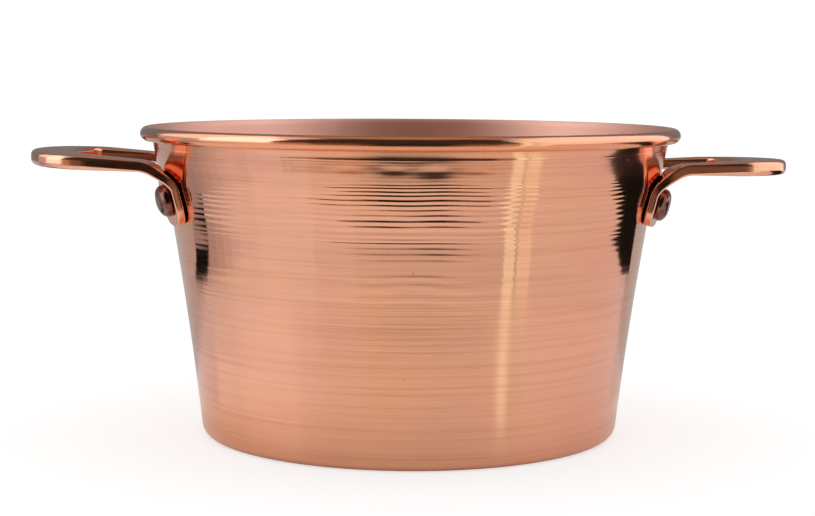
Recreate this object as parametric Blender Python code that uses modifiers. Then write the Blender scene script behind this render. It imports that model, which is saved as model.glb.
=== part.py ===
"""A spun copper preserving pot: a tapered body whose edge is rolled round a steel wire,
and two wide strap handles, each held by two large domed rivets.

Metres, +Z up. The origin is the middle of the underside, and the handles lie along X.
"""

import math

import bmesh
import bpy
from mathutils import Matrix, Vector

# The body, spun from one sheet
SHEET = 0.0012
RIM_DIAMETER = 0.240
RIM_HEIGHT = 0.1374
FOOT_DIAMETER = 0.186
FOOT_CORNER_RADIUS = 0.005
FOOT_LEAN = math.radians(6.0)
NECK_LEAN = math.radians(10.3)

# The shoulder, where the wall steps out a little on its way up
SHOULDER_STEP = 0.0023
SHOULDER_TOP_BELOW_RIM = 0.013
SHOULDER_DEPTH = 0.032

# The wire in the rolled edge
WIRE_DIAMETER = 0.0031
WIRE_CLEARANCE = 0.0003
ROLL_END_CLEARANCE = 0.0004

# The rivets
RIVET_ANGLE_FROM_HANDLE = math.radians(20.5)
SHANK_DIAMETER = 0.0056
SHANK_CLEARANCE = 0.0003
HEAD_DIAMETER = 0.0140
HEAD_HEIGHT = 0.0041
HEAD_SIDE_HEIGHT = 0.0010
HEAD_FLAT_DIAMETER = 0.0050
INNER_HEAD_DIAMETER = 0.0110
INNER_HEAD_HEIGHT = 0.0015
SEAT_CLEARANCE = 0.0003
INNER_SEAT_CLEARANCE = 0.0005
HEAD_CLEARANCE = 0.0003
FLAT_ABOVE_LUG = 0.00005

# The handles: a strap that lies flat on the wall, bends out and loops round as a grip
LUG_WIDTH = 0.0190
LUG_THICKNESS = 0.0035
LUG_ROUNDNESS = 3.2
LUG_EDGE_RADIUS = 0.0008
BEND_RADIUS = 0.0143
TWISTED_BY = 0.6
LEG_WIDTH = 0.0180
LEG_THICKNESS = 0.0046
LEG_TURN_IN = math.radians(2.0)
GRIP_WIDTH = 0.0187
GRIP_THICKNESS = 0.0061
GRIP_CORNER_RADIUS = 0.0150
GRIP_BOW_RADIUS = 0.0800
GRIP_EDGE_RADIUS = 0.0020
MOST_ROUNDED = 0.45

# Each handle is bent and fitted by hand, so the two sit a little differently
HANDLES = {
    "left": {
        "side": -1,
        "rivet_below_rim": 0.0295,
        "lug_below_rivet": 0.0113,
        "neck": 0.0038,
        "rise": math.radians(3.4),
        "roll": math.radians(0.2),
        "reach": 0.1582,
    },
    "right": {
        "side": 1,
        "rivet_below_rim": 0.0310,
        "lug_below_rivet": 0.0102,
        "neck": 0.0031,
        "rise": math.radians(1.0),
        "roll": math.radians(1.5),
        "reach": 0.1588,
    },
}

# How finely round shapes are divided
BODY_STEPS = 64
WALL_STEPS = 8
CORNER_STEPS = 4
ROLL_STEPS = 12
WIRE_SIDES = 8
RIVET_STEPS = 24
DOME_STEPS = 4
HOLE_STEPS = 24
LUG_STEPS = 7
BEND_STEPS = 9
LEG_STEPS = 2
GRIP_CORNER_STEPS = 5
GRIP_STEPS = 4
EDGE_STEPS = 3
SEAT_SAMPLES = 40

BEAD_RADIUS = WIRE_DIAMETER / 2 + WIRE_CLEARANCE + SHEET
BEAD_CENTRE_RADIUS = RIM_DIAMETER / 2 - BEAD_RADIUS
BEAD_CENTRE_HEIGHT = RIM_HEIGHT - BEAD_RADIUS
ROLL_RADIUS = BEAD_RADIUS - SHEET / 2
NECK_RADIUS = BEAD_CENTRE_RADIUS - (ROLL_RADIUS - SHEET / 2) * math.cos(NECK_LEAN)
NECK_HEIGHT = BEAD_CENTRE_HEIGHT + (ROLL_RADIUS - SHEET / 2) * math.sin(NECK_LEAN)
SMALL_STEP = 0.0001
SHARP_ANGLE = math.radians(35)
CUT_LENGTH = 0.010

for old in list(bpy.data.objects):
    bpy.data.objects.remove(old)

pot = bpy.data.collections.new("copper_pot")
cutters = bpy.data.collections.new("cutters")
bpy.context.scene.collection.children.link(pot)
bpy.context.scene.collection.children.link(cutters)


def metal(name, colour, roughness):
    material = bpy.data.materials.new(name)
    material.use_nodes = True
    shader = material.node_tree.nodes["Principled BSDF"]
    shader.inputs["Base Color"].default_value = (*colour, 1)
    shader.inputs["Metallic"].default_value = 1
    shader.inputs["Roughness"].default_value = roughness
    return material


def new_object(name, mesh, collection, material=None):
    thing = bpy.data.objects.new(name, mesh)
    collection.objects.link(thing)
    if material:
        mesh.materials.append(material)
    return thing


def shade(mesh):
    mesh.shade_smooth()
    mesh.set_sharp_from_angle(angle=SHARP_ANGLE)


def turned(name, profile, steps, collection, material):
    """A profile of (radius, height) points, turned round Z."""
    mesh = bpy.data.meshes.new(name)
    points = [(radius, 0, height) for radius, height in profile]
    mesh.from_pydata(points, [(i, i + 1) for i in range(len(points) - 1)], [])
    thing = new_object(name, mesh, collection, material)
    screw = thing.modifiers.new("turn", "SCREW")
    screw.steps = steps
    screw.render_steps = steps
    screw.use_merge_vertices = True
    screw.merge_threshold = 0.00001
    screw.use_smooth_shade = True
    return thing


def ease(share):
    share = min(max(share, 0), 1)
    return share * share * (3 - 2 * share)


def wall_radius(height):
    """The wall's outer radius: a curve between its two leans, with a step out at the shoulder."""
    share = height / NECK_HEIGHT
    foot = FOOT_DIAMETER / 2
    widening = NECK_RADIUS - SHOULDER_STEP - foot
    at_foot = math.tan(FOOT_LEAN) * NECK_HEIGHT
    at_neck = math.tan(NECK_LEAN) * NECK_HEIGHT
    square, cube = share**2, share**3
    curve = at_foot * (cube - 2 * square + share) + at_neck * (cube - square)
    shoulder_bottom = RIM_HEIGHT - SHOULDER_TOP_BELOW_RIM - SHOULDER_DEPTH
    step = SHOULDER_STEP * ease((height - shoulder_bottom) / SHOULDER_DEPTH)
    return foot + widening * (3 * square - 2 * cube) + curve + step


def wall_lean(height):
    rise = wall_radius(height + SMALL_STEP) - wall_radius(height - SMALL_STEP)
    return math.atan2(rise, 2 * SMALL_STEP)


def sheet_line():
    """The middle of the sheet from the base's centre to the end of the roll, as (point, outward normal)."""
    corner = FOOT_CORNER_RADIUS
    centre = FOOT_DIAMETER / 2 - corner * (1 - math.sin(FOOT_LEAN)) / math.cos(FOOT_LEAN)
    line = [((0, SHEET / 2), (0, -1))]
    for i in range(CORNER_STEPS + 1):
        angle = -math.pi / 2 + (math.pi / 2 - FOOT_LEAN) * i / CORNER_STEPS
        normal = (math.cos(angle), math.sin(angle))
        reach = corner - SHEET / 2
        line.append(((centre + reach * normal[0], corner + reach * normal[1]), normal))
    start = corner * (1 - math.sin(FOOT_LEAN))
    for i in range(1, WALL_STEPS):
        height = start + (NECK_HEIGHT - start) * i / WALL_STEPS
        lean = wall_lean(height)
        normal = (math.cos(lean), -math.sin(lean))
        point = (wall_radius(height) - normal[0] * SHEET / 2, height - normal[1] * SHEET / 2)
        line.append((point, normal))
    clear = 1 - (SHEET + ROLL_END_CLEARANCE) / ROLL_RADIUS
    turn = 2 * math.pi - math.acos(clear)
    for i in range(ROLL_STEPS + 1):
        angle = math.pi - NECK_LEAN - turn * i / ROLL_STEPS
        away = (math.cos(angle), math.sin(angle))
        point = (BEAD_CENTRE_RADIUS + ROLL_RADIUS * away[0], BEAD_CENTRE_HEIGHT + ROLL_RADIUS * away[1])
        line.append((point, (-away[0], -away[1])))
    return line


def offset(line, distance):
    return [(p[0] + n[0] * distance, p[1] + n[1] * distance) for p, n in line]


def make_body(material):
    line = sheet_line()
    inner = offset(line, -SHEET / 2)
    outer = offset(line, SHEET / 2)
    return turned("pot_body", inner + outer[::-1], BODY_STEPS, pot, material)


def make_wire(material):
    bpy.ops.mesh.primitive_torus_add(
        location=(0, 0, BEAD_CENTRE_HEIGHT),
        major_radius=BEAD_CENTRE_RADIUS,
        minor_radius=WIRE_DIAMETER / 2,
        major_segments=BODY_STEPS,
        minor_segments=WIRE_SIDES,
    )
    wire = bpy.context.object
    wire.name = "rim_wire"
    for collection in list(wire.users_collection):
        collection.objects.unlink(wire)
    pot.objects.link(wire)
    wire.data.materials.append(material)
    shade(wire.data)
    return wire


def seat(fit, side, end):
    """Where a rivet meets the wall: its place on the lug's back, with the directions out, up and along.
    side is -1 at the left and 1 at the right, and end is -1 at the front and 1 at the rear."""
    rivet_height = RIM_HEIGHT - fit["rivet_below_rim"]
    low = rivet_height - fit["lug_below_rivet"]
    high = rivet_height + LUG_WIDTH / 2
    slope = (wall_radius(high) - wall_radius(low)) / (high - low)
    lean = math.atan(slope)
    # The lug is flat, so it stands off the fullest point of the wall behind it
    heights = [low + (high - low) * i / SEAT_SAMPLES for i in range(SEAT_SAMPLES + 1)]
    middle = wall_radius(rivet_height)
    fullest = max(wall_radius(z) - middle - slope * (z - rivet_height) for z in heights)
    from_handle = RIVET_ANGLE_FROM_HANDLE
    radial = Vector((side * math.cos(from_handle), end * math.sin(from_handle), 0))
    out = radial * math.cos(lean) - Vector((0, 0, math.sin(lean)))
    up = radial * math.sin(lean) + Vector((0, 0, math.cos(lean)))
    place = radial * (middle + fullest) + Vector((0, 0, rivet_height))
    place += out * SEAT_CLEARANCE
    return place, out, up, up.cross(out)


def rivet_matrix(fit, end):
    place, out, up, along = seat(fit, fit["side"], end)
    return Matrix.Translation(place) @ Matrix((along, up, out)).transposed().to_4x4()


def inner_sag(fit):
    """How far the hollow of the wall comes in behind the edge of a rivet's flat inner head."""
    wall = wall_radius(RIM_HEIGHT - fit["rivet_below_rim"])
    return wall - math.sqrt(wall**2 - (INNER_HEAD_DIAMETER / 2) ** 2)


def make_rivet(name, fit, end, material):
    """One rivet, turned round its own axis. Height 0 is the lug's back, and the pot's inside is below."""
    shank = SHANK_DIAMETER / 2
    head = HEAD_DIAMETER / 2
    flat = HEAD_FLAT_DIAMETER / 2
    seat_height = LUG_THICKNESS + SEAT_CLEARANCE
    dome_height = HEAD_HEIGHT - HEAD_SIDE_HEIGHT
    profile = [(0, seat_height + HEAD_HEIGHT)]
    for i in range(DOME_STEPS + 1):
        angle = math.pi / 2 * (1 - i / DOME_STEPS)
        radius = flat + (head - flat) * math.cos(angle)
        profile.append((radius, seat_height + HEAD_SIDE_HEIGHT + dome_height * math.sin(angle)))
    profile.append((head, seat_height))
    profile.append((shank, seat_height))
    wall_inside = -SEAT_CLEARANCE - SHEET - inner_sag(fit) - INNER_SEAT_CLEARANCE
    inner = INNER_HEAD_DIAMETER / 2
    profile.append((shank, wall_inside))
    profile.append((inner, wall_inside))
    for i in range(DOME_STEPS + 1):
        angle = math.pi / 2 * i / DOME_STEPS
        depth = SMALL_STEP + INNER_HEAD_HEIGHT * math.sin(angle)
        profile.append((inner * math.cos(angle), wall_inside - depth))
    rivet = turned(name, profile, RIVET_STEPS, pot, material)
    rivet.matrix_world = rivet_matrix(fit, end)
    return rivet


def strap_path(fit):
    """The middle of the strap from its front lug to the middle of the grip, as for a handle at +X.
    Each station is (point, direction across the strap, width, thickness, edge radius)."""
    place, out, up, along = seat(fit, 1, -1)
    rise = fit["rise"]
    middle = place + out * LUG_THICKNESS / 2
    stations = []
    for i in range(LUG_STEPS + 1):
        angle = math.pi / 2 * (i + 1) / (LUG_STEPS + 1)
        drop = fit["lug_below_rivet"] * math.cos(angle) ** (2 / LUG_ROUNDNESS)
        width = LUG_WIDTH * math.sin(angle) ** (2 / LUG_ROUNDNESS)
        stations.append((middle - up * drop, along, width, LUG_THICKNESS, LUG_EDGE_RADIUS))
    point = middle + up * fit["neck"]
    stations.append((point.copy(), along, LUG_WIDTH, LUG_THICKNESS, LUG_EDGE_RADIUS))

    start_pitch = math.atan2(up.z, math.hypot(up.x, up.y))
    length = BEND_RADIUS * (start_pitch - rise)

    def heading(share):
        # The strap has turned from the lug's direction to the leg's before the bend ends
        twist = ease(share / TWISTED_BY)
        return -RIVET_ANGLE_FROM_HANDLE + (RIVET_ANGLE_FROM_HANDLE + LEG_TURN_IN) * twist

    for i in range(BEND_STEPS):
        half_way = (i + 0.5) / BEND_STEPS
        pitch = start_pitch + (rise - start_pitch) * half_way
        turn = heading(half_way)
        flat = math.cos(pitch)
        step = Vector((flat * math.cos(turn), flat * math.sin(turn), math.sin(pitch)))
        point = point + step * length / BEND_STEPS
        share = (i + 1) / BEND_STEPS
        turn = heading(share)
        across = Vector((-math.sin(turn), math.cos(turn), 0))
        width = LUG_WIDTH + (LEG_WIDTH - LUG_WIDTH) * ease(share)
        thickness = LUG_THICKNESS + (LEG_THICKNESS - LUG_THICKNESS) * ease(share)
        stations.append((point.copy(), across, width, thickness, LUG_EDGE_RADIUS))

    # Seen from above: a straight leg, a tight corner, then the long bow of the grip
    leg_start = point.copy()
    along_leg = Vector((math.cos(LEG_TURN_IN), math.sin(LEG_TURN_IN)))
    inward = Vector((-along_leg.y, along_leg.x))
    bow_centre = Vector((fit["reach"] - GRIP_BOW_RADIUS, 0))
    beside = leg_start.xy + inward * GRIP_CORNER_RADIUS - bow_centre
    along_part = beside.dot(along_leg)
    beyond = along_part**2 - beside.length_squared + (GRIP_BOW_RADIUS - GRIP_CORNER_RADIUS) ** 2
    leg_length = -along_part + math.sqrt(beyond)
    corner_centre = leg_start.xy + inward * GRIP_CORNER_RADIUS + along_leg * leg_length
    meeting = corner_centre - bow_centre
    bow_start = math.atan2(meeting.y, meeting.x) + math.pi / 2

    def add(flat_point, turn, width, thickness, edge):
        height = leg_start.z + (flat_point.x - leg_start.x) * math.tan(rise)
        across = Vector((-math.sin(turn), math.cos(turn), 0))
        stations.append((Vector((*flat_point, height)), across, width, thickness, edge))

    for i in range(1, LEG_STEPS + 1):
        share = i / LEG_STEPS
        thickness = LEG_THICKNESS + (GRIP_THICKNESS - LEG_THICKNESS) * share
        edge = LUG_EDGE_RADIUS + (GRIP_EDGE_RADIUS - LUG_EDGE_RADIUS) * share
        add(leg_start.xy + along_leg * leg_length * share, LEG_TURN_IN, LEG_WIDTH, thickness, edge)
    for i in range(1, GRIP_CORNER_STEPS + 1):
        share = i / GRIP_CORNER_STEPS
        turn = LEG_TURN_IN + (bow_start - LEG_TURN_IN) * share
        spot = corner_centre + GRIP_CORNER_RADIUS * Vector((math.sin(turn), -math.cos(turn)))
        width = LEG_WIDTH + (GRIP_WIDTH - LEG_WIDTH) * ease(share)
        add(spot, turn, width, GRIP_THICKNESS, GRIP_EDGE_RADIUS)
    for i in range(1, GRIP_STEPS + 1):
        turn = bow_start + (math.pi / 2 - bow_start) * i / GRIP_STEPS
        spot = bow_centre + GRIP_BOW_RADIUS * Vector((math.sin(turn), -math.cos(turn)))
        add(spot, turn, GRIP_WIDTH, GRIP_THICKNESS, GRIP_EDGE_RADIUS)
    return stations


def strap_section(width, thickness, edge):
    """A rectangle with rounded corners, as (across, up) points. A thin strap limits its edge radius."""
    radius = min(edge, MOST_ROUNDED * min(width, thickness))
    points = []
    for corner, (right, top) in enumerate(((1, 1), (-1, 1), (-1, -1), (1, -1))):
        centre = (right * (width / 2 - radius), top * (thickness / 2 - radius))
        for i in range(EDGE_STEPS):
            angle = math.pi / 2 * (corner + i / (EDGE_STEPS - 1))
            points.append((centre[0] + radius * math.cos(angle), centre[1] + radius * math.sin(angle)))
    return points


def make_handle(name, fit, material):
    """The strap's sections joined into one skin, from the front lug round the grip to the rear lug."""
    half = strap_path(fit)
    grip_height = half[-1][0].z
    rivet_height = RIM_HEIGHT - fit["rivet_below_rim"]
    rear = [
        (Vector((p.x, -p.y, p.z)), Vector((a.x, -a.y, 0)), *section)
        for p, a, *section in reversed(half[:-1])
    ]
    stations = half + rear
    centres = [station[0] for station in stations]
    mesh = bpy.data.meshes.new(name)
    skin = bmesh.new()
    rings = []
    for i, (centre, across, *section) in enumerate(stations):
        ahead = centres[min(i + 1, len(centres) - 1)] - centres[max(i - 1, 0)]
        ahead.normalize()
        across = (across - ahead * across.dot(ahead)).normalized()
        up = ahead.cross(across)
        ring = []
        for u, v in strap_section(*section):
            spot = centre + across * u + up * v
            # A rolled handle's front leg stands higher than its rear leg, and its lugs stay where they are
            share = ease((spot.z - rivet_height) / (grip_height - rivet_height))
            spot.z -= spot.y * math.tan(fit["roll"]) * share
            spot.x *= fit["side"]
            ring.append(skin.verts.new(spot))
        rings.append(ring)
    for one, other in zip(rings, rings[1:]):
        for i in range(len(one)):
            j = (i + 1) % len(one)
            skin.faces.new((one[i], one[j], other[j], other[i]))
    skin.faces.new(rings[0])
    skin.faces.new(rings[-1])
    bmesh.ops.recalc_face_normals(skin, faces=skin.faces)
    skin.to_mesh(mesh)
    skin.free()
    shade(mesh)
    return new_object(name, mesh, pot, material)


def make_hole_cutter(name, fit, end):
    """A bore for a rivet's shank through the lug and the wall, and the flat that the head sits on."""
    bore = SHANK_DIAMETER / 2 + SHANK_CLEARANCE
    flat = HEAD_DIAMETER / 2 + HEAD_CLEARANCE
    face = LUG_THICKNESS + FLAT_ABOVE_LUG
    profile = [
        (0, CUT_LENGTH),
        (flat, CUT_LENGTH),
        (flat, face),
        (bore, face),
        (bore, -CUT_LENGTH),
        (0, -CUT_LENGTH),
    ]
    cutter = turned(name, profile, HOLE_STEPS, cutters, None)
    cutter.matrix_world = rivet_matrix(fit, end)
    cutter.hide_render = True
    cutter.display_type = "WIRE"
    return cutter


def cut(thing, cutter):
    bore = thing.modifiers.new("rivet hole", "BOOLEAN")
    bore.operation = "DIFFERENCE"
    bore.solver = "EXACT"
    bore.object = cutter


polished_copper = metal("polished_copper", (0.86, 0.47, 0.33), 0.16)
handle_copper = metal("handle_copper", (0.84, 0.45, 0.33), 0.14)
rivet_copper = metal("rivet_copper", (0.55, 0.27, 0.21), 0.34)
steel = metal("rim_wire_steel", (0.52, 0.51, 0.50), 0.40)

body = make_body(polished_copper)
make_wire(steel)
for hand, fit in HANDLES.items():
    handle = make_handle(f"{hand}_handle", fit, handle_copper)
    for place_name, end in (("front", -1), ("rear", 1)):
        make_rivet(f"{hand}_{place_name}_rivet", fit, end, rivet_copper)
        hole = make_hole_cutter(f"{hand}_{place_name}_rivet_bore", fit, end)
        cut(handle, hole)
        cut(body, hole)
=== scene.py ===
"""The looks of the copper preserving pot: its spun and polished body, the wire in its rim,
two strap handles, four rivets, and the white table and soft studio it stands in.

Metres, +Z up. The pot stands on Z = 0, with its handles along X.
"""

import math

import bpy
import numpy as np
from mathutils import Matrix, Vector


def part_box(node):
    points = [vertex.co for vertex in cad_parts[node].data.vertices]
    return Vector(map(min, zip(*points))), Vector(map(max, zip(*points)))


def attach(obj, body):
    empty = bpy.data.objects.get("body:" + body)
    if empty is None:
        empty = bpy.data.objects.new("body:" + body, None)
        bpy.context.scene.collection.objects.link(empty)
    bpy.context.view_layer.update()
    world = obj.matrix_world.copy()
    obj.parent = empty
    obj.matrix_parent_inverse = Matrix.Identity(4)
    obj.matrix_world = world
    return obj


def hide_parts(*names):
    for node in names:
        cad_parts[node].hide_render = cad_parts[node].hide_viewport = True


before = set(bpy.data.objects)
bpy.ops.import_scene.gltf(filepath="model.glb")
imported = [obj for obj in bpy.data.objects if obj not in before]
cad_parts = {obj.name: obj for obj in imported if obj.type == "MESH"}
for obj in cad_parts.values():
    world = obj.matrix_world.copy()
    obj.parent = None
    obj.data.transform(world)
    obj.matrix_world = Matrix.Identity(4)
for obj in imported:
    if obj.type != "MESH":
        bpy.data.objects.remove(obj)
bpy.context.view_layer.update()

# The body
# One sheet of copper, spun over a former on a lathe and polished, but not lined. The spinner's
# tool leaves rings all round, wide apart at mid height and close together near the neck, and the
# edge of the sheet is rolled outward round a steel wire.

SHEET = 0.0012
FOOT_RADIUS = 0.093
FOOT_CORNER = 0.005
FOOT_LEAN = math.radians(6.0)
NECK_LEAN = math.radians(10.3)
SHOULDER_STEP = 0.0023
SHOULDER_TOP_BELOW_RIM = 0.013
SHOULDER_DEPTH = 0.032
BEAD_RADIUS = 0.00305
ROLL_GAP = 0.0004

# Each ring's height, and how far it stands out of the wall
RINGS = (
    (0.0600, 0.000005),
    (0.0640, 0.000010),
    (0.0680, 0.000015),
    (0.0716, 0.000036),
    (0.0769, 0.000062),
    (0.0806, 0.000056),
    (0.0840, 0.000010),
    (0.0871, 0.000034),
    (0.0897, 0.000040),
    (0.0921, 0.000042),
    (0.0945, 0.000054),
    (0.0957, 0.000058),
    (0.0979, 0.000065),
    (0.1009, 0.000100),
    (0.1031, 0.000145),
    (0.1054, 0.000110),
    (0.1076, 0.000105),
    (0.1096, 0.000140),
    (0.1115, 0.000170),
    (0.1136, 0.000115),
    (0.1151, 0.000085),
    (0.1167, 0.000075),
    (0.1178, 0.000040),
    (0.1192, 0.000010),
    (0.1207, 0.000010),
    (0.1223, 0.000012),
    (0.1243, 0.000008),
    (0.1256, 0.000008),
    (0.1268, 0.000012),
    (0.1280, 0.000045),
    (0.1292, 0.000010),
)
STEPS_PER_RING = 7
RING_LEAN = 0.15
RING_WANDER = 0.10
RING_UNEVENNESS = 0.3
FADE_BY_HANDLES = 0.65
FADE_ANGLE = math.radians(50)

# Shallow dents: how deep they are, the heights where they start and end, and how soon they do
SOFT_DENT = 0.00004
SOFT_DENT_START = 0.09
SOFT_DENT_RISE = 0.03
NECK_DENT = 0.000015
NECK_DENT_HEIGHTS = (0.1190, 0.1275)
NECK_DENT_RISE = 0.003
NECK_DENT_FALL = 0.002
# Four dents under the rim at the front: degrees to the right, height, half their size both ways,
# depth
FRONT_DENTS = (
    (-15.5, 0.1240, 2.5, 0.0013, 0.00007),
    (-7.0, 0.1238, 2.0, 0.0013, 0.00011),
    (1.0, 0.1236, 2.6, 0.0018, 0.00017),
    (9.3, 0.1236, 2.5, 0.0013, 0.00007),
)
SWELL = 0.00028
SWELL_HEIGHTS = (0.1172, 0.1277, 0.1288)
SWELL_ANGLE = math.radians(34)
NECK_FLARE = 0.00018
NECK_FLARE_HEIGHTS = (0.1285, 0.1312)
NECK_CURVE = 1.5

# How finely the body is divided
ROUND_STEPS = 256
BASE_STEPS = 7
CORNER_STEPS = 8
LOW_WALL_STEP = 0.0022
NECK_STEP = 0.00025
INNER_WALL_STEP = 0.0022
OUTER_ROLL_STEPS = 12
INNER_ROLL_STEPS = 28
SATIN_ROLL_STEPS = 8
WALL_ENDS_BELOW_NECK = 0.001
AXIS_RADIUS = 0.001

RIM_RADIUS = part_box("pot_body")[1].x
RIM_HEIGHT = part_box("pot_body")[1].z
BEAD_CENTRE = (RIM_RADIUS - BEAD_RADIUS, RIM_HEIGHT - BEAD_RADIUS)
ROLL_RADIUS = BEAD_RADIUS - SHEET / 2
NECK_RADIUS = BEAD_CENTRE[0] - (ROLL_RADIUS - SHEET / 2) * math.cos(NECK_LEAN)
NECK_HEIGHT = BEAD_CENTRE[1] + (ROLL_RADIUS - SHEET / 2) * math.sin(NECK_LEAN)


def ease(share):
    """0 below 0, 1 above 1, and smooth between them."""
    share = np.clip(share, 0, 1)
    return share * share * (3 - 2 * share)


def wall_radius(height):
    """The wall's outer radius: a curve between its two leans, with a step out at the shoulder."""
    share = height / NECK_HEIGHT
    widening = NECK_RADIUS - SHOULDER_STEP - FOOT_RADIUS
    square, cube = share**2, share**3
    at_foot = math.tan(FOOT_LEAN) * NECK_HEIGHT * (cube - 2 * square + share)
    at_neck = math.tan(NECK_LEAN) * NECK_HEIGHT * (cube - square)
    shoulder_bottom = RIM_HEIGHT - SHOULDER_TOP_BELOW_RIM - SHOULDER_DEPTH
    step = SHOULDER_STEP * ease((height - shoulder_bottom) / SHOULDER_DEPTH)
    return FOOT_RADIUS + widening * (3 * square - 2 * cube) + at_foot + at_neck + step


def wall_lean(height, near=0.0001):
    """The wall's slope outward, as an angle, between two heights close to the one asked for."""
    return np.arctan2(wall_radius(height + near) - wall_radius(height - near), 2 * near)


def sheet_line(heights, roll_steps):
    """The middle of the sheet from the base's middle to the end of the roll, as points and the
    directions out of the pot, each (radius, height)."""
    centre = FOOT_RADIUS - FOOT_CORNER * (1 - math.sin(FOOT_LEAN)) / math.cos(FOOT_LEAN)
    base = np.linspace(0, centre, BASE_STEPS + 1)[:-1]
    points = [np.stack((base, np.full_like(base, SHEET / 2)), 1)]
    normals = [np.tile((0.0, -1.0), (len(base), 1))]

    turn = np.linspace(-math.pi / 2, -FOOT_LEAN, CORNER_STEPS + 1)
    away = np.stack((np.cos(turn), np.sin(turn)), 1)
    points.append((centre, FOOT_CORNER) + away * (FOOT_CORNER - SHEET / 2))
    normals.append(away)

    lean = wall_lean(heights)
    away = np.stack((np.cos(lean), -np.sin(lean)), 1)
    points.append(np.stack((wall_radius(heights), heights), 1) - away * SHEET / 2)
    normals.append(away)

    closing = math.acos(1 - (SHEET + ROLL_GAP) / ROLL_RADIUS)
    turn = math.pi - NECK_LEAN - np.linspace(0, 2 * math.pi - closing, roll_steps + 1)
    away = np.stack((np.cos(turn), np.sin(turn)), 1)
    points.append(BEAD_CENTRE + away * ROLL_RADIUS)
    normals.append(-away)
    return np.concatenate(points), np.concatenate(normals)


def wobble(chance, angle, height, turns, rises, waves):
    """A smooth random swell from a few sine waves, each with fewer than so many turns round the
    piece and at most so much rise along its height."""
    total = 0
    for _ in range(waves):
        around = int(chance.integers(1, turns))
        up = chance.uniform(-rises, rises)
        total = total + np.sin(around * angle + up * height + chance.uniform(0, 2 * math.pi))
    return total / math.sqrt(waves)


ring_heights = np.array([ring[0] for ring in RINGS])
ring_depths = np.array([ring[1] for ring in RINGS])


def turning_marks(chance, angle, height):
    """How far the spinner's rings and the shallow dents stand out of the smooth wall."""
    count = np.interp(height, ring_heights, np.arange(len(RINGS)))
    count = count + RING_WANDER * wobble(chance, angle, height, turns=30, rises=60, waves=8)
    nearest = np.clip(np.round(count).astype(int), 0, len(RINGS) - 1)
    # Each ring is steeper below than on top
    turn = -2 * math.pi * count
    shape = (1 + np.cos(turn + RING_LEAN * (1 - np.cos(turn)))) / 2
    within = (height > ring_heights[0]) & (height < ring_heights[-1])
    uneven = 1 + RING_UNEVENNESS * wobble(chance, angle, height, turns=30, rises=500, waves=8)
    # Hand polishing has worn the rings down beside the handles
    from_front = np.arccos(np.abs(np.sin(angle)))
    left_over = 1 - FADE_BY_HANDLES * ease(from_front / FADE_ANGLE)
    marks = ring_depths[nearest] * shape * uneven * within * left_over
    upper_half = ease((height - SOFT_DENT_START) / SOFT_DENT_RISE)
    dents = SOFT_DENT * wobble(chance, angle, height, turns=12, rises=420, waves=8) * upper_half
    low, high = NECK_DENT_HEIGHTS
    at_neck = ease((height - low) / NECK_DENT_RISE) * ease((high - height) / NECK_DENT_FALL)
    small = wobble(chance, angle, height, turns=40, rises=1100, waves=12)
    dents = dents + NECK_DENT * small * at_neck
    for place, dent_height, wide, tall, depth in FRONT_DENTS:
        aside = (np.degrees(angle) - place + 270) % 360 - 180
        above = height - dent_height
        dents = dents - depth * np.exp(-((aside / wide) ** 2) - (above / tall) ** 2)
    # The neck swells a little and draws in again just under the roll
    low, middle, high = SWELL_HEIGHTS
    swelling = np.clip((height - low) / (middle - low), 0, 1) ** NECK_CURVE
    swelling = swelling - ease((height - middle) / (high - middle))
    dents = dents + SWELL * (1 - ease(from_front / SWELL_ANGLE)) * swelling
    low, high = NECK_FLARE_HEIGHTS
    flare = NECK_FLARE * np.clip((height - low) / (high - low), 0, 1) ** NECK_CURVE
    return marks + dents + flare


def new_piece(name, mesh, finish):
    """An object in the scene with one mesh and one finish."""
    piece = bpy.data.objects.new(name, mesh)
    bpy.context.scene.collection.objects.link(piece)
    mesh.materials.append(finish)
    return piece


def skin(name, rings, first_tip, last_tip, finish):
    """A closed skin over rings of points, pulled together at a tip at each end."""
    count, around = rings.shape[:2]
    points = np.concatenate((rings.reshape(-1, 3), (first_tip, last_tip)))
    one = np.arange(around)
    other = (one + 1) % around
    faces = []
    for row in range(count - 1):
        low, high = row * around, (row + 1) * around
        faces += np.stack((low + one, low + other, high + other, high + one), 1).tolist()
    start, end = count * around, count * around + 1
    faces += [(start, int(b), int(a)) for a, b in zip(one, other)]
    last = (count - 1) * around
    faces += [(end, last + int(a), last + int(b)) for a, b in zip(one, other)]
    mesh = bpy.data.meshes.new(name)
    mesh.from_pydata(points.tolist(), [], faces)
    mesh.validate()
    mesh.shade_smooth()
    return new_piece(name, mesh, finish)


class Amount:
    """A number inside a node tree. Plain sums on it add the Math nodes."""

    def __init__(self, tree, socket):
        self.tree = tree
        self.socket = socket

    def math(self, operation, *others):
        node = self.tree.nodes.new("ShaderNodeMath")
        node.operation = operation
        for socket, value in zip(node.inputs, others):
            if isinstance(value, Amount):
                self.tree.links.new(value.socket, socket)
            else:
                socket.default_value = value
        return Amount(self.tree, node.outputs[0])

    def __add__(self, other):
        return self.math("ADD", self, other)

    def __radd__(self, other):
        return self.math("ADD", other, self)

    def __sub__(self, other):
        return self.math("SUBTRACT", self, other)

    def __rsub__(self, other):
        return self.math("SUBTRACT", other, self)

    def __mul__(self, other):
        return self.math("MULTIPLY", self, other)

    def __rmul__(self, other):
        return self.math("MULTIPLY", other, self)

    def __lt__(self, other):
        return self.math("LESS_THAN", self, other)

    def eased(self, low, high):
        """0 below low, 1 above high, and smooth between them."""
        share = self.math("DIVIDE", self - low, high - low)
        share = share.math("MINIMUM", share.math("MAXIMUM", share, 0), 1)
        return share * share * (3 - 2 * share)


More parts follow.
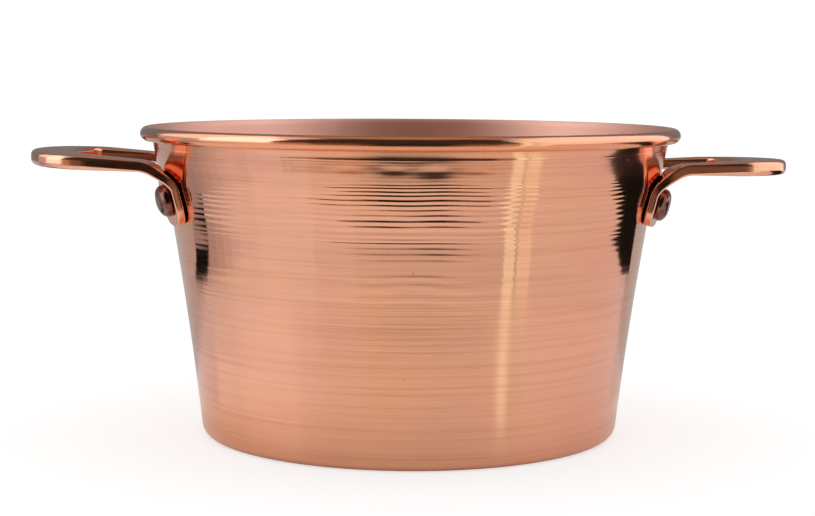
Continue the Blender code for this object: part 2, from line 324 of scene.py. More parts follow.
class Finish:
    """A finish, built node by node round one Principled shader, with the values that are the same
    all over the piece on its own sockets. Unless they say otherwise it is a metal's."""

    def __init__(self, name, **constants):
        self.material = bpy.data.materials.new(name)
        self.material.use_nodes = True
        self.tree = self.material.node_tree
        self.shader = self.tree.nodes["Principled BSDF"]
        self.shader.inputs["Metallic"].default_value = 1
        for socket, value in constants.items():
            self.shader.inputs[socket.replace("_", " ")].default_value = value
        self.place = self.node("ShaderNodeTexCoord", output="Object")

    def node(self, kind, settings=None, inputs=None, output=0):
        """Any node: its settings first, then the values or links of its sockets."""
        node = self.tree.nodes.new(kind)
        for name, value in (settings or {}).items():
            setattr(node, name, value)
        for name, value in (inputs or {}).items():
            if isinstance(value, Amount):
                self.tree.links.new(value.socket, node.inputs[name])
            else:
                node.inputs[name].default_value = value
        return Amount(self.tree, node.outputs[output])

    def stretched(self, across, up):
        """The place on the piece, with its two level directions and its height each stretched."""
        settings = {"operation": "MULTIPLY"}
        return self.node("ShaderNodeVectorMath", settings, {0: self.place, 1: (across, across, up)})

    def height(self):
        return self.node("ShaderNodeSeparateXYZ", None, {"Vector": self.place}, "Z")

    def noise(self, place, scale, detail=2.0, roughness=0.5):
        inputs = {"Vector": place, "Scale": scale, "Detail": detail, "Roughness": roughness}
        return self.node("ShaderNodeTexNoise", None, inputs, "Fac")

    def specks(self, scale, size):
        """1 in small round pits, 0 between them."""
        inputs = {"Vector": self.place, "Scale": scale}
        return self.node("ShaderNodeTexVoronoi", None, inputs, "Distance") < size

    def blend(self, share, one, other):
        """A colour between two colours. The Mix node has sockets 6 and 7 for them, and output 2."""
        settings = {"data_type": "RGBA"}
        return self.node("ShaderNodeMix", settings, {0: share, 6: one, 7: other}, 2)

    def set(self, name, value):
        self.tree.links.new(value.socket, self.shader.inputs[name])

    def bump(self, height, distance, below=None):
        """Fine relief for the Normal socket, on top of other relief if there is some."""
        inputs = {"Height": height, "Distance": distance, "Strength": 1.0}
        if below:
            inputs["Normal"] = below
        return self.node("ShaderNodeBump", None, inputs)


COPPER = (0.88, 0.42, 0.27, 1)
COPPER_WARM = (0.87, 0.415, 0.25, 1)
COPPER_PINK = (0.83, 0.40, 0.27, 1)
COPPER_DEEP = (0.74, 0.34, 0.20, 1)
COPPER_TARNISH = (0.42, 0.17, 0.10, 1)
# The next orange is a painted reflection: the copper wall as the underside of the roll mirrors it
PAINTED_WALL_REFLECTION_ORANGE = (0.84, 0.33, 0.17, 1)
COPPER_SATIN = (0.98, 0.66, 0.56, 1)
COPPER_SATIN_DEEP = (0.94, 0.61, 0.50, 1)

# The heights between which each part of the outside comes on or fades out
UPPER_WALL_STARTS = (0.055, 0.085)
NECK_STARTS = (0.1165, 0.1215)
BEAD_STARTS = (0.1300, 0.1318)
PAINTED_REFLECTION_ENDS = (0.1330, 0.1350)

# The lower wall is brushed, and the upper wall is polished to a mirror
LOWER_ROUGHNESS = 0.205
UPPER_POLISH = 0.13

polished = Finish("spun_copper", Anisotropic=0.9, Anisotropic_Rotation=0.25)
cloud = polished.noise(polished.place, 16, 3)
fine_rings = polished.noise(polished.stretched(7, 900), 1.0, 3, 0.6)
close_rings = polished.noise(polished.stretched(16, 3200), 1.0, 2)
pits = polished.specks(95, 0.03)
colour = polished.blend(cloud.eased(0.35, 0.65), COPPER_WARM, COPPER_PINK)
colour = polished.blend(fine_rings.eased(0.42, 0.7) * 0.7, colour, COPPER_DEEP)
colour = polished.blend(pits * 0.5, colour, COPPER_TARNISH)
bead = polished.height().eased(*BEAD_STARTS)
# Painted reflection: the underside of the roll is tinted a deeper orange, standing in for the copper
# wall that it mirrors, and not a colour of the sheet
painted_reflection_band = bead - polished.height().eased(*PAINTED_REFLECTION_ENDS)
colour = polished.blend(painted_reflection_band, colour, PAINTED_WALL_REFLECTION_ORANGE)
polished.set("Base Color", colour)
upper = polished.height().eased(*UPPER_WALL_STARTS)
neck = polished.height().eased(*NECK_STARTS)
worn = 0.05 * neck + 0.04 * bead + 0.03 * (fine_rings - 0.5) + 0.15 * pits
polished.set("Roughness", LOWER_ROUGHNESS - UPPER_POLISH * upper + worn)
low_lines = polished.bump(fine_rings * (1.1 - upper), 0.00009)
polished.set("Normal", polished.bump(close_rings * (1.2 - upper), 0.000004, low_lines))

satin = Finish("satin_copper_inside", Anisotropic=0.7, Anisotropic_Rotation=0.25)
cloud = satin.noise(satin.place, 22, 3)
fine_rings = satin.noise(satin.stretched(6, 700), 1.0, 3, 0.6)
satin.set("Base Color", satin.blend(cloud.eased(0.3, 0.7), COPPER_SATIN, COPPER_SATIN_DEEP))
satin.set("Roughness", 0.66 + 0.10 * (fine_rings - 0.5))
satin.set("Normal", satin.bump(fine_rings, 0.00004))

chance = np.random.default_rng(6)
round_angle = np.arange(ROUND_STEPS) * 2 * math.pi / ROUND_STEPS
ring_steps = np.arange(0, len(RINGS) - 1, 1 / STEPS_PER_RING)
upper_heights = np.interp(ring_steps, np.arange(len(RINGS)), ring_heights)
low_end = ring_heights[0] - LOW_WALL_STEP / 2
low_heights = np.arange(FOOT_CORNER + LOW_WALL_STEP, low_end, LOW_WALL_STEP)
neck_heights = np.arange(ring_heights[-1], NECK_HEIGHT - SHEET, NECK_STEP)
outer_heights = np.concatenate((low_heights, upper_heights, neck_heights))
wall_end = NECK_HEIGHT - WALL_ENDS_BELOW_NECK
inner_heights = np.arange(FOOT_CORNER + INNER_WALL_STEP, wall_end, INNER_WALL_STEP)

# The skin runs up the inside, over the roll to its end, back round it and down the outside
outer, outer_away = sheet_line(outer_heights, OUTER_ROLL_STEPS)
inner, inner_away = sheet_line(inner_heights, INNER_ROLL_STEPS)
outer = (outer + outer_away * SHEET / 2)[::-1]
outer_away = outer_away[::-1]
inner = inner - inner_away * SHEET / 2
profile = np.concatenate((inner, outer))
away = np.concatenate((inner_away, outer_away))

# Only the outside of the wall is marked
ring_angle, ring_height = np.meshgrid(round_angle, profile[:, 1])
marks = turning_marks(chance, ring_angle, ring_height)
wall_rows = np.arange(len(profile)) > len(inner) + OUTER_ROLL_STEPS
on_wall = wall_rows & (profile[:, 1] > FOOT_CORNER) & (profile[:, 1] < wall_end)
marks[~on_wall] = 0
radius = profile[:, :1] + away[:, :1] * marks
height = profile[:, 1:] + away[:, 1:] * marks
rings = np.stack((radius * np.cos(ring_angle), radius * np.sin(ring_angle), height), 2)
off_axis = profile[:, 0] > AXIS_RADIUS
inner_tip, outer_tip = (0, 0, SHEET), (0, 0, 0)
body = skin("spun_body", rings[off_axis], inner_tip, outer_tip, polished.material)

# The inside is satin as far as the top of the roll
body.data.materials.append(satin.material)
inside = np.zeros(len(body.data.polygons), np.int32)
satin_rows = BASE_STEPS + CORNER_STEPS - 1 + len(inner_heights) + SATIN_ROLL_STEPS
inside[: satin_rows * ROUND_STEPS] = 1
tip_faces = [face.index for face in body.data.polygons if len(face.vertices) == 3]
inside[[i for i in tip_faces if body.data.polygons[i].center.z > SHEET / 2]] = 1
body.data.polygons.foreach_set("material_index", inside)
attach(body, "root")
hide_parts("pot_body")

# The rim wire
# A ring of drawn steel wire inside the rolled edge, which closes round it almost all the way. It
# is hidden there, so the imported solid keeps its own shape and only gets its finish.

STEEL_DARK = (0.42, 0.41, 0.40, 1)
STEEL_PALE = (0.60, 0.59, 0.58, 1)

steel = Finish("drawn_steel_wire")
drawn = steel.noise(steel.stretched(900, 900), 1.0, 2)
steel.set("Base Color", steel.blend(drawn, STEEL_DARK, STEEL_PALE))
steel.set("Roughness", 0.35 + 0.15 * drawn)
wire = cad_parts["rim_wire"]
wire.data.materials.clear()
wire.data.materials.append(steel.material)

# The handles
# Each is one strap of thick copper. A rounded lug at each end lies flat on the wall, and between
# them the strap bends out in a tight curve and loops round as a flat grip with rounded edges.

LUG_WIDTH = 0.0190
LUG_THICKNESS = 0.0035
LUG_ROUNDNESS = 3.2
LUG_TIP_SHARE = 0.35
LUG_EDGE_RADIUS = 0.0008
SEAT_GAP = 0.0003
SEAT_SAMPLES = 41
RIVET_ANGLE = math.radians(20.5)
BEND_RADIUS = 0.0143
TWISTED_BY = 0.6
LEG_WIDTH = 0.0180
LEG_THICKNESS = 0.0046
LEG_TURN_IN = math.radians(2.0)
GRIP_WIDTH = 0.0187
GRIP_THICKNESS = 0.0061
GRIP_CORNER = 0.0150
GRIP_BOW = 0.0800
GRIP_EDGE_RADIUS = 0.0020
EDGE_LIMIT = 0.45
# The two handles were bent and fitted by hand, so each has its own values
HANDLES = {
    "left": {
        "side": -1,
        "rivet_below_rim": 0.0295,
        "lug_below_rivet": 0.0113,
        "neck": 0.0038,
        "rise": math.radians(3.4),
        "roll": math.radians(0.2),
        "reach": 0.1582,
    },
    "right": {
        "side": 1,
        "rivet_below_rim": 0.0310,
        "lug_below_rivet": 0.0102,
        "neck": 0.0031,
        "rise": math.radians(1.0),
        "roll": math.radians(1.5),
        "reach": 0.1588,
    },
}


def seat(fit, side, end):
    """Where a rivet meets the wall, with the directions out, up and along the wall there."""
    rivet_height = RIM_HEIGHT - fit["rivet_below_rim"]
    low = rivet_height - fit["lug_below_rivet"]
    high = rivet_height + LUG_WIDTH / 2
    slope = (wall_radius(high) - wall_radius(low)) / (high - low)
    lean = math.atan(slope)
    heights = np.linspace(low, high, SEAT_SAMPLES)
    middle = wall_radius(rivet_height)
    fullest = max(wall_radius(heights) - middle - slope * (heights - rivet_height))
    radial = Vector((side * math.cos(RIVET_ANGLE), end * math.sin(RIVET_ANGLE), 0))
    out = radial * math.cos(lean) - Vector((0, 0, math.sin(lean)))
    up = radial * math.sin(lean) + Vector((0, 0, math.cos(lean)))
    place = radial * (middle + fullest) + Vector((0, 0, rivet_height)) + out * SEAT_GAP
    return place, out, up, up.cross(out)


def strap_path(fit, lug_steps=16, bend_steps=26, leg_steps=10, corner_steps=14, grip_steps=20):
    """The middle of the strap from its front lug to the middle of the grip, as for a handle at +X.
    Each station is (point, direction across the strap, width, thickness, edge radius)."""
    place, out, up, along = seat(fit, 1, -1)
    rise = fit["rise"]
    middle = place + out * LUG_THICKNESS / 2
    stations = []
    for i in range(lug_steps + 1):
        angle = math.pi / 2 * (i + LUG_TIP_SHARE) / (lug_steps + LUG_TIP_SHARE)
        drop = fit["lug_below_rivet"] * math.cos(angle) ** (2 / LUG_ROUNDNESS)
        width = LUG_WIDTH * math.sin(angle) ** (2 / LUG_ROUNDNESS)
        stations.append((middle - up * drop, along, width, LUG_THICKNESS, LUG_EDGE_RADIUS))
    point = middle + up * fit["neck"]
    stations.append((point.copy(), along, LUG_WIDTH, LUG_THICKNESS, LUG_EDGE_RADIUS))

    start_pitch = math.atan2(up.z, math.hypot(up.x, up.y))
    length = BEND_RADIUS * (start_pitch - rise)
    for i in range(bend_steps):
        half_way = (i + 0.5) / bend_steps
        share = (i + 1) / bend_steps
        pitch = start_pitch + (rise - start_pitch) * half_way
        turn = -RIVET_ANGLE + (RIVET_ANGLE + LEG_TURN_IN) * ease(half_way / TWISTED_BY)
        flat = math.cos(pitch)
        step = Vector((flat * math.cos(turn), flat * math.sin(turn), math.sin(pitch)))
        point = point + step * length / bend_steps
        turn = -RIVET_ANGLE + (RIVET_ANGLE + LEG_TURN_IN) * ease(share / TWISTED_BY)
        across = Vector((-math.sin(turn), math.cos(turn), 0))
        width = LUG_WIDTH + (LEG_WIDTH - LUG_WIDTH) * ease(share)
        thickness = LUG_THICKNESS + (LEG_THICKNESS - LUG_THICKNESS) * ease(share)
        stations.append((point.copy(), across, width, thickness, LUG_EDGE_RADIUS))

    leg_start = point.copy()
    along_leg = Vector((math.cos(LEG_TURN_IN), math.sin(LEG_TURN_IN)))
    inward = Vector((-along_leg.y, along_leg.x))
    bow_centre = Vector((fit["reach"] - GRIP_BOW, 0))
    beside = leg_start.xy + inward * GRIP_CORNER - bow_centre
    along_part = beside.dot(along_leg)
    beyond = along_part**2 - beside.length_squared + (GRIP_BOW - GRIP_CORNER) ** 2
    leg_length = -along_part + math.sqrt(beyond)
    corner_centre = leg_start.xy + inward * GRIP_CORNER + along_leg * leg_length
    meeting = corner_centre - bow_centre
    bow_start = math.atan2(meeting.y, meeting.x) + math.pi / 2

    def add(flat_point, turn, width, thickness, edge):
        height = leg_start.z + (flat_point.x - leg_start.x) * math.tan(rise)
        across = Vector((-math.sin(turn), math.cos(turn), 0))
        stations.append((Vector((*flat_point, height)), across, width, thickness, edge))

    for i in range(1, leg_steps + 1):
        share = i / leg_steps
        thickness = LEG_THICKNESS + (GRIP_THICKNESS - LEG_THICKNESS) * share
        edge = LUG_EDGE_RADIUS + (GRIP_EDGE_RADIUS - LUG_EDGE_RADIUS) * share
        add(leg_start.xy + along_leg * leg_length * share, LEG_TURN_IN, LEG_WIDTH, thickness, edge)
    for i in range(1, corner_steps + 1):
        share = i / corner_steps
        turn = LEG_TURN_IN + (bow_start - LEG_TURN_IN) * share
        spot = corner_centre + GRIP_CORNER * Vector((math.sin(turn), -math.cos(turn)))
        width = LEG_WIDTH + (GRIP_WIDTH - LEG_WIDTH) * ease(share)
        add(spot, turn, width, GRIP_THICKNESS, GRIP_EDGE_RADIUS)
    for i in range(1, grip_steps + 1):
        turn = bow_start + (math.pi / 2 - bow_start) * i / grip_steps
        spot = bow_centre + GRIP_BOW * Vector((math.sin(turn), -math.cos(turn)))
        add(spot, turn, GRIP_WIDTH, GRIP_THICKNESS, GRIP_EDGE_RADIUS)
    return stations


def strap_section(width, thickness, edge, corner_points=7, flat_points=4):
    """A rectangle with rounded corners and evenly divided flats, as (across, up) points."""
    radius = float(min(edge, EDGE_LIMIT * min(width, thickness)))
    points = []
    for corner, (right, top) in enumerate(((1, 1), (-1, 1), (-1, -1), (1, -1))):
        centre = Vector((right * (width / 2 - radius), top * (thickness / 2 - radius)))
        for i in range(corner_points):
            angle = math.pi / 2 * (corner + i / (corner_points - 1))
            points.append(centre + radius * Vector((math.cos(angle), math.sin(angle))))
        facing = math.pi / 2 * (corner + 1)
        ahead = Vector((math.cos(facing + math.pi / 2), math.sin(facing + math.pi / 2)))
        length = (width if corner % 2 == 0 else thickness) - 2 * radius
        start = points[-1].copy()
        for i in range(1, flat_points + 1):
            points.append(start + ahead * length * i / (flat_points + 1))
    return points


def make_strap(hand, fit, finish):
    """One handle: its front half, the same half mirrored to the rear, and a skin over both."""
    half = strap_path(fit)
    grip_height = half[-1][0].z
    rivet_height = RIM_HEIGHT - fit["rivet_below_rim"]
    rear = [
        (Vector((p.x, -p.y, p.z)), Vector((a.x, -a.y, 0)), *section)
        for p, a, *section in reversed(half[:-1])
    ]
    stations = half + rear
    centres = [station[0] for station in stations]
    rings = []
    for i, (centre, across, *section) in enumerate(stations):
        ahead = (centres[min(i + 1, len(centres) - 1)] - centres[max(i - 1, 0)]).normalized()
        across = (across - ahead * across.dot(ahead)).normalized()
        up = ahead.cross(across)
        ring = []
        for u, v in strap_section(*section):
            spot = centre + across * u + up * v
            # A rolled handle's front leg stands higher, and its lugs stay where they are
            share = ease((spot.z - rivet_height) / (grip_height - rivet_height))
            spot.z -= spot.y * math.tan(fit["roll"]) * share
            ring.append((spot.x * fit["side"], spot.y, spot.z))
        rings.append(ring)
    rings = np.array(rings)
    if fit["side"] > 0:
        rings = rings[:, ::-1]
    first, last = rings[0].mean(0), rings[-1].mean(0)
    return skin(f"{hand}_strap", rings, first, last, finish)


strap_copper = Finish("strap_copper")
cloud = strap_copper.noise(strap_copper.place, 60, 3)
scuffs = strap_copper.noise(strap_copper.stretched(260, 500), 1.0, 3, 0.7)
colour = strap_copper.blend(cloud.eased(0.4, 0.6), COPPER, COPPER_PINK)
strap_copper.set("Base Color", colour)
strap_copper.set("Roughness", 0.12 + 0.10 * scuffs)
strap_copper.set("Normal", strap_copper.bump(scuffs, 0.00001))

for hand, fit in HANDLES.items():
    strap = make_strap(hand, fit, strap_copper.material)
    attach(strap, "root")
    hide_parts(f"{hand}_handle")

# The rivets
# Four solid copper rivets. Each domed head was hammered down over the lug, which left it a little
# flat and uneven, and it is duller and redder than the polished copper round it.

SHANK_RADIUS = 0.0028
HEAD_RADIUS = 0.0070
HEAD_HEIGHT = 0.0041
HEAD_SIDE = 0.0010
HEAD_FLAT = 0.0025
HEAD_CORNER = 0.0003
CROWN_SHARES = (0.35, 0.7)
INNER_HEAD_RADIUS = 0.0055
INNER_HEAD_HEIGHT = 0.0015
INNER_HEAD_CORNER = 0.0002
INNER_HEAD_SIDE = 0.0001
HEAD_GAP = 0.0003
INNER_GAP = 0.0005
HAMMERED = 0.00012
OUT_OF_ROUND = 0.012
RIVET_STEPS = 64
DOME_STEPS = 14
INNER_HEAD_STEPS = 8
RIVET_DARK = (0.14, 0.058, 0.042, 1)
RIVET_WORN = (0.28, 0.13, 0.10, 1)


def make_rivet(name, fit, end, chance, finish):
    """A rivet turned round its own axis. Height 0 is the lug's back, and the pot's inside is below."""
    face = LUG_THICKNESS + HEAD_GAP
    crown = np.array([(HEAD_FLAT * share, face + HEAD_HEIGHT) for share in CROWN_SHARES])
    turn = np.linspace(math.pi / 2, 0, DOME_STEPS)
    dome_radius = HEAD_FLAT + (HEAD_RADIUS - HEAD_FLAT) * np.cos(turn)
    dome_height = face + HEAD_SIDE + (HEAD_HEIGHT - HEAD_SIDE) * np.sin(turn)
    dome = np.stack((dome_radius, dome_height), 1)
    wall = wall_radius(RIM_HEIGHT - fit["rivet_below_rim"])
    inner_sag = wall - math.sqrt(wall**2 - INNER_HEAD_RADIUS**2)
    inside = -SEAT_GAP - SHEET - inner_sag - INNER_GAP
    shank = np.array([
        (HEAD_RADIUS, face + HEAD_CORNER),
        (HEAD_RADIUS - HEAD_CORNER, face),
        (SHANK_RADIUS, face),
        (SHANK_RADIUS, inside),
        (INNER_HEAD_RADIUS - INNER_HEAD_CORNER, inside),
    ])
    turn = np.linspace(0, math.pi / 2, INNER_HEAD_STEPS)[:-1]
    inner_height = inside - INNER_HEAD_SIDE - INNER_HEAD_HEIGHT * np.sin(turn)
    inner_head = np.stack((INNER_HEAD_RADIUS * np.cos(turn), inner_height), 1)
    outline = np.concatenate((crown, dome, shank, inner_head))
    angle, height = np.meshgrid(np.arange(RIVET_STEPS) * 2 * math.pi / RIVET_STEPS, outline[:, 1])
    radius = np.repeat(outline[:, :1], RIVET_STEPS, 1)
    # Only the outer head is hammered
    uneven = wobble(chance, angle, height, turns=5, rises=900, waves=6)
    outside = ease((height - face) / HEAD_SIDE) * ease(radius / HEAD_RADIUS)
    height = height - HAMMERED * (1 + uneven) * outside
    out_of_round = OUT_OF_ROUND * wobble(chance, angle, height, turns=4, rises=200, waves=4)
    radius = radius * (1 + out_of_round * outside)
    local = np.stack((radius * np.cos(angle), height, radius * np.sin(angle)), 2)
    place, out, up, along = seat(fit, fit["side"], end)
    wall_directions = np.array((along, out, up))
    rings = local @ wall_directions + np.array(place)
    top_tip = np.array(place) + np.array(out) * (face + HEAD_HEIGHT)
    end_tip = np.array(place) + np.array(out) * (inside - INNER_HEAD_SIDE - INNER_HEAD_HEIGHT)
    return skin(name, rings, top_tip, end_tip, finish)


hammered = Finish("hammered_copper")
cloud = hammered.noise(hammered.place, 420, 3)
grain = hammered.noise(hammered.place, 2600, 2)
hammered.set("Base Color", hammered.blend(cloud.eased(0.3, 0.7), RIVET_DARK, RIVET_WORN))
hammered.set("Roughness", 0.14 + 0.16 * cloud)
hammered.set("Normal", hammered.bump(grain, 0.00001, hammered.bump(cloud, 0.00006)))

for hand, fit in HANDLES.items():
    for place_name, end in (("front", -1), ("rear", 1)):
        rivet = make_rivet(f"{hand}_{place_name}_rivet_head", fit, end, chance, hammered.material)
        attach(rivet, "root")
        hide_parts(f"{hand}_{place_name}_rivet")

# The studio
# A white floor under an even white light. Only the metal sees the rest: a table's top in parts of
# their own level, and dark and bright panels over its edge, which the polished wall mirrors.

TABLE_LEFT = 0.33
TABLE_RIGHT = 0.34
TABLE_FRONT = 0.335
TABLE_REAR = 0.115
TABLE_INSIDE = 0.09
TABLE_FAR = 0.17
TABLE_LIT = 0.8
FLOOR_LIT = 0.45
FLOOR_GLOW = 0.62
CAMERA_TURN = math.radians(3.75)
CAMERA_DISTANCE = 0.8191
CAMERA_HEIGHT = 0.1646
CAMERA_PITCH = math.radians(6.036)
CAMERA_ROLL = math.radians(0.312)
CAMERA_YAW = math.radians(-0.07)
CAMERA_LENS = 80.54
PANEL_DISTANCE = 1.9
PANEL_STEP = math.radians(3)
SECTOR_STEP = 5
SECTOR_EDGE_STEP = 3
NEVER_ZERO = 1e-9
DARK_CARD_HEIGHT = 0.05
NEUTRAL = (1, 1, 1)
SHADE = (1, 0.7, 0.5)
CREAM = (0.9, 1.05, 0.93)


def plain(name, colour, lit, glow):
    """A matt surface that shows the light on it, or glows evenly, or both."""
    return Finish(
        name,
        Metallic=0,
        Roughness=1,
        Specular_IOR_Level=0,
        Base_Color=(*[part * lit for part in colour], 1),
        Emission_Color=(*colour, 1),
        Emission_Strength=glow,
    )


def only_for_metal(card):
    """Hides a card from the camera and from matt surfaces, and takes away its shadow, so that it is
    only seen mirrored in metal."""
    card.visible_camera = False
    card.visible_diffuse = False
    card.visible_shadow = False


def panel(name, start, end, low, high, colour, level):
    """A curved upright panel, which only the metal sees. Its ends are degrees to the right of the
    camera. Its edges are degrees above the table, or a pair of them for a slanting edge."""
    first, last = math.radians(start) - CAMERA_TURN, math.radians(end) - CAMERA_TURN
    steps = max(1, round((last - first) / PANEL_STEP))
    points = []
    for i in range(steps + 1):
        angle = first + (last - first) * i / steps
        spot = (PANEL_DISTANCE * math.sin(angle), -PANEL_DISTANCE * math.cos(angle))
        for edge in (low, high):
            degrees = np.interp(i / steps, (0, 1), np.broadcast_to(edge, 2))
            points.append((*spot, PANEL_DISTANCE * math.tan(math.radians(degrees))))
    faces = [(2 * i, 2 * i + 1, 2 * i + 3, 2 * i + 2) for i in range(steps)]
    mesh = bpy.data.meshes.new(name)
    mesh.from_pydata(points, [], faces)
    only_for_metal(new_piece(name, mesh, plain(name, colour, 0, level).material))


def graded(name, start, end, first, last, tint, far):
    """Narrow sectors side by side, whose level changes from the first to the last."""
    count = math.ceil((end - start) / SECTOR_STEP)
    for i in range(count):
        share = (i + 0.5) / count
        edges = [start + (end - start) * (i + one) / count for one in (0, 1)]
        sector(f"{name}_{i + 1}", *edges, first + (last - first) * share, tint, far)


def sector(name, start, end, level, tint=NEUTRAL, far=1):
    """A part of the table's top as the wall mirrors it, between two directions from the camera.
    Its outer part, past TABLE_FAR, has the given share of the level."""
    inner, middle, outer = [], [], []
    for degrees in np.linspace(start, end, max(2, round((end - start) / SECTOR_EDGE_STEP) + 1)):
        turn = math.radians(degrees)
        wall = Vector((math.sin(turn / 2), math.cos(turn / 2))) * TABLE_INSIDE
        right, front = math.sin(turn), math.cos(turn)
        to_side = ((TABLE_RIGHT if right > 0 else -TABLE_LEFT) - wall.x) / (right or NEVER_ZERO)
        to_edge = ((TABLE_FRONT if front > 0 else -TABLE_REAR) - wall.y) / (front or NEVER_ZERO)
        whole = min(to_side, to_edge)
        for row, length in ((inner, 0), (middle, min(whole, TABLE_FAR)), (outer, whole)):
            spot = wall + Vector((right, front)) * length
            row.append((spot.x, -spot.y, 0))
    parts = (name, inner, middle, 1), (f"{name}_far", middle, outer, far)
    for part_name, near, rear, share in parts:
        mesh = bpy.data.meshes.new(part_name)
        mesh.from_pydata(near + rear[::-1], [], [tuple(range(2 * len(near)))])
        matt = plain(part_name, tint, TABLE_LIT, level * share - TABLE_LIT)
        part = new_piece(part_name, mesh, matt.material)
        part.rotation_euler.z = -CAMERA_TURN
        only_for_metal(part)


def dark_card(name, level, corners):
    """A flat dark card over the table, its corners given to the right and the front as the camera
    looks. The wall mirrors it beside a handle."""
    points = [(right, -front, DARK_CARD_HEIGHT) for right, front in corners]
    mesh = bpy.data.meshes.new(name)
    mesh.from_pydata(points, [], [range(len(corners))])
    card = new_piece(name, mesh, plain(name, NEUTRAL, 0, level).material)
    card.rotation_euler.z = -CAMERA_TURN
    only_for_metal(card)


# Each row gives a sector's ends in degrees to the right of the camera, its level, or its first and
# last levels, its tint, and the share of the level that its outer part has
sector("table_rear_left", -180, -120, 0.88, (0.98, 1, 1.08))
graded("table_left", -120, -75, 1.03, 1.06, (0.99, 1.05, 1.12), 0.85)
graded("table_front_left", -75, -45, 1.05, 1.02, (0.99, 1.03, 1.08), 0.9)
graded("table_near_front", -45, -25, 1.01, 1.0, (1, 1.01, 1.03), 0.86)
graded("table_front", -25, 44.7, 1.0, 0.94, (1, 1.01, 0.97), 0.82)
sector("table_light_near", 44.7, 50.2, 1.34, CREAM, 0.86)
sector("table_light_gap", 50.2, 51.4, 0.82, CREAM, 0.9)
sector("table_light_far", 51.4, 58.5, 0.89, (0.97, 1.03, 0.95), 1.15)
graded("table_right", 58.5, 135, 0.93, 0.90, (1, 1.01, 1.04), 0.9)
sector("table_rear_right", 135, 180, 0.80)
dark_card("right_dark_card", 0.01, (
    (0.178, -0.03),
    (0.215, -0.022),
    (0.235, -0.008),
    (0.28, 0.012),
    (0.38, 0.043),
    (0.80, 0.15),
    (0.80, -0.36),
    (0.40, -0.22),
    (0.25, -0.14),
    (0.178, -0.062),
))
dark_card("left_dark_card", 0, ((-0.165, 0.008), (-0.224, 0), (-0.224, -0.052), (-0.165, -0.03)))

# The table is darker close round the foot, where the pot shades it. The smaller rounds lie higher
FOOT_SHADES = ((0.136, 0.95), (0.126, 0.91), (0.116, 0.87))
FOOT_SHADE_TOP = 0.0012
FOOT_SHADE_DROP = 0.008
for reach, level in FOOT_SHADES:
    bpy.ops.mesh.primitive_circle_add(vertices=96, radius=reach, fill_type="NGON")
    shade = bpy.context.object
    shade.name = f"foot_shade_{reach}"
    shade.location.z = FOOT_SHADE_TOP - FOOT_SHADE_DROP * reach
    shade.data.materials.append(plain(shade.name, NEUTRAL, TABLE_LIT, level - TABLE_LIT).material)
    only_for_metal(shade)

OVERHEAD_PLACE = (0, 0.9, 6.2)
OVERHEAD_SIZE = (5.6, 5.7, 1)
OVERHEAD_LEVEL = 0.5
bpy.ops.mesh.primitive_plane_add(size=1, location=OVERHEAD_PLACE)
overhead = bpy.context.object
overhead.name = "overhead_panel"
overhead.scale = OVERHEAD_SIZE
overhead.data.materials.append(plain("overhead_panel", SHADE, 0, OVERHEAD_LEVEL).material)
only_for_metal(overhead)

FLOOR_RADIUS = 6
FLOOR_DROP = 0.0001
floor_place = (0, 0, -FLOOR_DROP)
bpy.ops.mesh.primitive_circle_add(
    vertices=128, radius=FLOOR_RADIUS, fill_type="NGON", location=floor_place
)
floor = bpy.context.object
floor.name = "white_floor"
floor.visible_glossy = False

# The floor glows a little where it is seen, so that the shadow on it stays faint
white = plain("white_floor", NEUTRAL, FLOOR_LIT, 1)
seen = (
    white.node("ShaderNodeLightPath", output="Is Camera Ray")
    + white.node("ShaderNodeLightPath", output="Is Transmission Ray")
    + white.node("ShaderNodeLightPath", output="Is Glossy Ray")
)
glow = {0: (FLOOR_GLOW, FLOOR_GLOW, FLOOR_GLOW), "Scale": seen}
white.set("Emission Color", white.node("ShaderNodeVectorMath", {"operation": "SCALE"}, glow))
floor.data.materials.append(white.material)

# Something dark stands before the table, darkest in its middle. Its levels from left to right,
# each between two directions in degrees to the right of the camera
FRONT_LEVELS = (
    (-53, -38, 0.97),
    (-38, -32, 0.90),
    (-32, -27, 0.78),
    (-27, -22, 0.60),
    (-22, -18, 0.42),
    (-18, -15, 0.25),
    (-15, -12, 0.10),
    (-12, -3, 0.015),
    (-3, 4, 0.07),
    (4, 14, 0.015),
    (14, 17, 0.10),
    (17, 20, 0.25),
    (20, 24, 0.42),
    (24, 28, 0.60),
    (28, 33, 0.78),
    (33, 38, 0.90),
    (38, 44.7, 0.97),
)
for start, end, level in FRONT_LEVELS:
    panel(f"front_panel_{start}", start, end, -45, -17, SHADE, level)
panel("front_middle_panel", -14, 16, -17, 8, SHADE, 0.015)
panel("front_near_left_panel", -20, -14, -17, 8, SHADE, 0.09)
panel("front_left_panel", -40, -20, -17, 8, SHADE, 0.2)
panel("front_far_left_panel", -57, -40, -17, 8, SHADE, 0.5)
panel("front_near_right_panel", 16, 22, -17, 8, SHADE, 0.09)
panel("front_right_panel", 22, 36, -17, 8, SHADE, 0.2)
panel("front_far_right_panel", 36, 44.7, -17, 8, SHADE, 0.5)
panel("front_upper_panel", -57, 44.7, 8, 74, (1, 0.85, 0.75), 0.045)

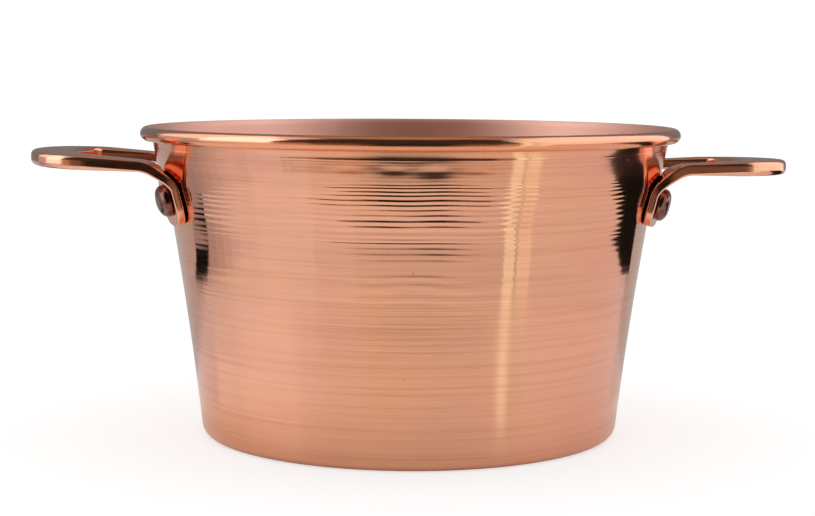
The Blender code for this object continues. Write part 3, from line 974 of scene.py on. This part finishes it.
# The left side grows brighter toward the front
LEFT_LOW_LEVELS = (
    (-126.5, -112, 0.42),
    (-112, -106, 0.48),
    (-106, -100, 0.56),
    (-100, -94, 0.65),
    (-94, -88, 0.74),
    (-88, -82, 0.80),
    (-82, -76, 0.78),
    (-76, -53, 0.84),
)
for start, end, level in LEFT_LOW_LEVELS:
    panel(f"left_low_panel_{start}", start, end, -45, 0, (0.97, 0.96, 1.06), level)
panel("left_bright_panel", -94, -57, 0, (60, 40), NEUTRAL, 2.2)
panel("left_grey_panel", -126.5, -94, 0, 14, (0.95, 0.94, 1.1), 0.62)
panel("left_pale_panel", -132, -94, 14, 60, (1, 0.97, 0.95), 1.35)
panel("back_low_panel", 135, 233.5, -45, 0, NEUTRAL, 0.52)
panel("back_panel", 135, 233.5, 0, 60, NEUTRAL, 0.22)
panel("right_low_panel", 58.5, 135, -45, -3, (1, 0.94, 1), 0.80)
panel("right_bright_panel", 58.5, 135, -3, 60, (1, 0.92, 0.95), 1.5)

# Two bright strips with a thin gap, which the wall mirrors as a double pale stripe
panel("warm_strip_near", 44.7, 50.2, -45, 45, CREAM, 1.4)
panel("warm_strip_gap", 50.2, 51.4, -45, 45, CREAM, 0.5)
panel("warm_strip_far", 51.4, 58.5, -45, 45, CREAM, 1.25)
panel("dark_above_strips", 44.7, 58.5, 45, 73, SHADE, 0.03)

world = bpy.data.worlds.new("even_white_light")
world.use_nodes = True
world.node_tree.nodes["Background"].inputs["Color"].default_value = (1, 1, 1, 1)
world.node_tree.nodes["Background"].inputs["Strength"].default_value = 1
bpy.context.scene.world = world
bpy.context.scene.view_settings.view_transform = "Standard"

camera_data = bpy.data.cameras.new("camera")
camera_data.lens = CAMERA_LENS
camera = bpy.data.objects.new("camera", camera_data)
bpy.context.scene.collection.objects.link(camera)
stand = Vector((-math.sin(CAMERA_TURN), -math.cos(CAMERA_TURN), 0)) * CAMERA_DISTANCE
stand.z = CAMERA_HEIGHT
heading = Matrix.Rotation(-CAMERA_TURN - CAMERA_YAW, 4, "Z")
pitch = Matrix.Rotation(math.pi / 2 - CAMERA_PITCH, 4, "X")
camera.matrix_world = Matrix.Translation(stand) @ heading @ pitch @ Matrix.Rotation(CAMERA_ROLL, 4, "Z")
bpy.context.scene.camera = camera
